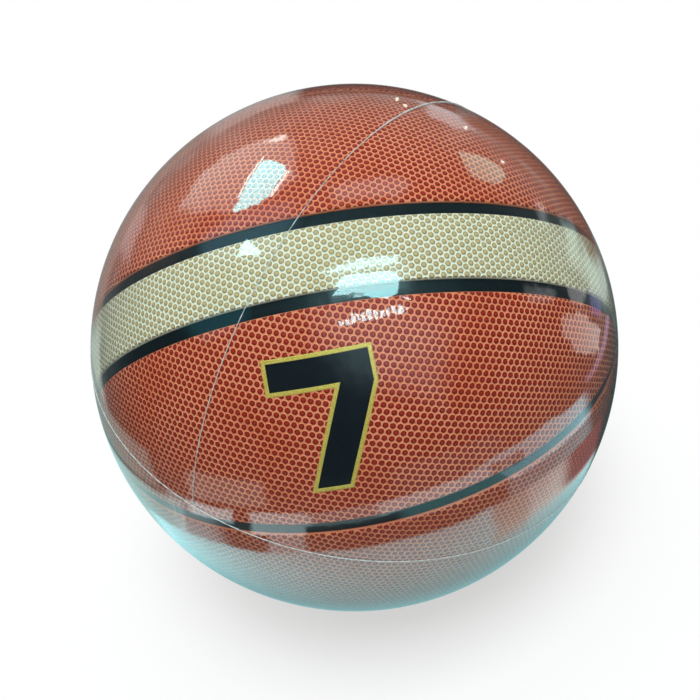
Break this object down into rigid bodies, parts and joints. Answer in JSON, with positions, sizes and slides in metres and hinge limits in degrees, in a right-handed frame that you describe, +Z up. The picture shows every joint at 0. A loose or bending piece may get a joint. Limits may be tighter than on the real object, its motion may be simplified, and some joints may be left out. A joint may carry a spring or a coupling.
{
  "type": "basketball",
  "caption": "Laminated basketball with pebbled panels in two colours, recessed black channels and a needle valve, wrapped in clear shrink film.",
  "frame": {"origin": "middle of the ball", "axes": "+Z up, square to the level channel; -Y out through the middle of the front oval; +Y out through the valve; +X to the right seen from the front"},
  "size_m": [0.2422, 0.2422, 0.2424],
  "materials": {
    "red_cover": "pebbled composite leather, dark red-brown pebbles in a lighter orange ground",
    "cream_cover": "pebbled composite leather, tan pebbles in a pale cream ground",
    "foam": "fine sponge foam, glued under the cover",
    "black_rubber": "smooth moulded rubber with a fine grain in the channels",
    "thread": "wound thread set in latex",
    "butyl": "smooth dark bladder rubber",
    "valve_rubber": "soft black valve rubber",
    "clear_film": "clear glossy shrink film with thin welded beads"
  },
  "bodies": {
    "root": {"front_upper_oval_panel": "red_cover", "front_upper_band_panel": "cream_cover", "front_upper_crown_panel": "red_cover", "front_lower_oval_panel": "red_cover", "front_lower_band_panel": "cream_cover", "front_lower_crown_panel": "red_cover", "back_upper_oval_panel": "red_cover", "back_upper_band_panel": "cream_cover", "back_upper_crown_panel": "red_cover", "back_lower_oval_panel": "red_cover", "back_lower_band_panel": "cream_cover", "back_lower_crown_panel": "red_cover", "front_upper_oval_foam": "foam", "front_upper_band_foam": "foam", "front_upper_crown_foam": "foam", "front_lower_oval_foam": "foam", "front_lower_band_foam": "foam", "front_lower_crown_foam": "foam", "back_upper_oval_foam": "foam", "back_upper_band_foam": "foam", "back_upper_crown_foam": "foam", "back_lower_oval_foam": "foam", "back_lower_band_foam": "foam", "back_lower_crown_foam": "foam", "carcass": "black_rubber", "thread_winding": "thread", "air_bladder": "butyl", "valve_pad": "butyl", "valve_stem": "valve_rubber", "valve_plug": "valve_rubber", "shrink_film": "clear_film"}
  },
  "joints": []
}
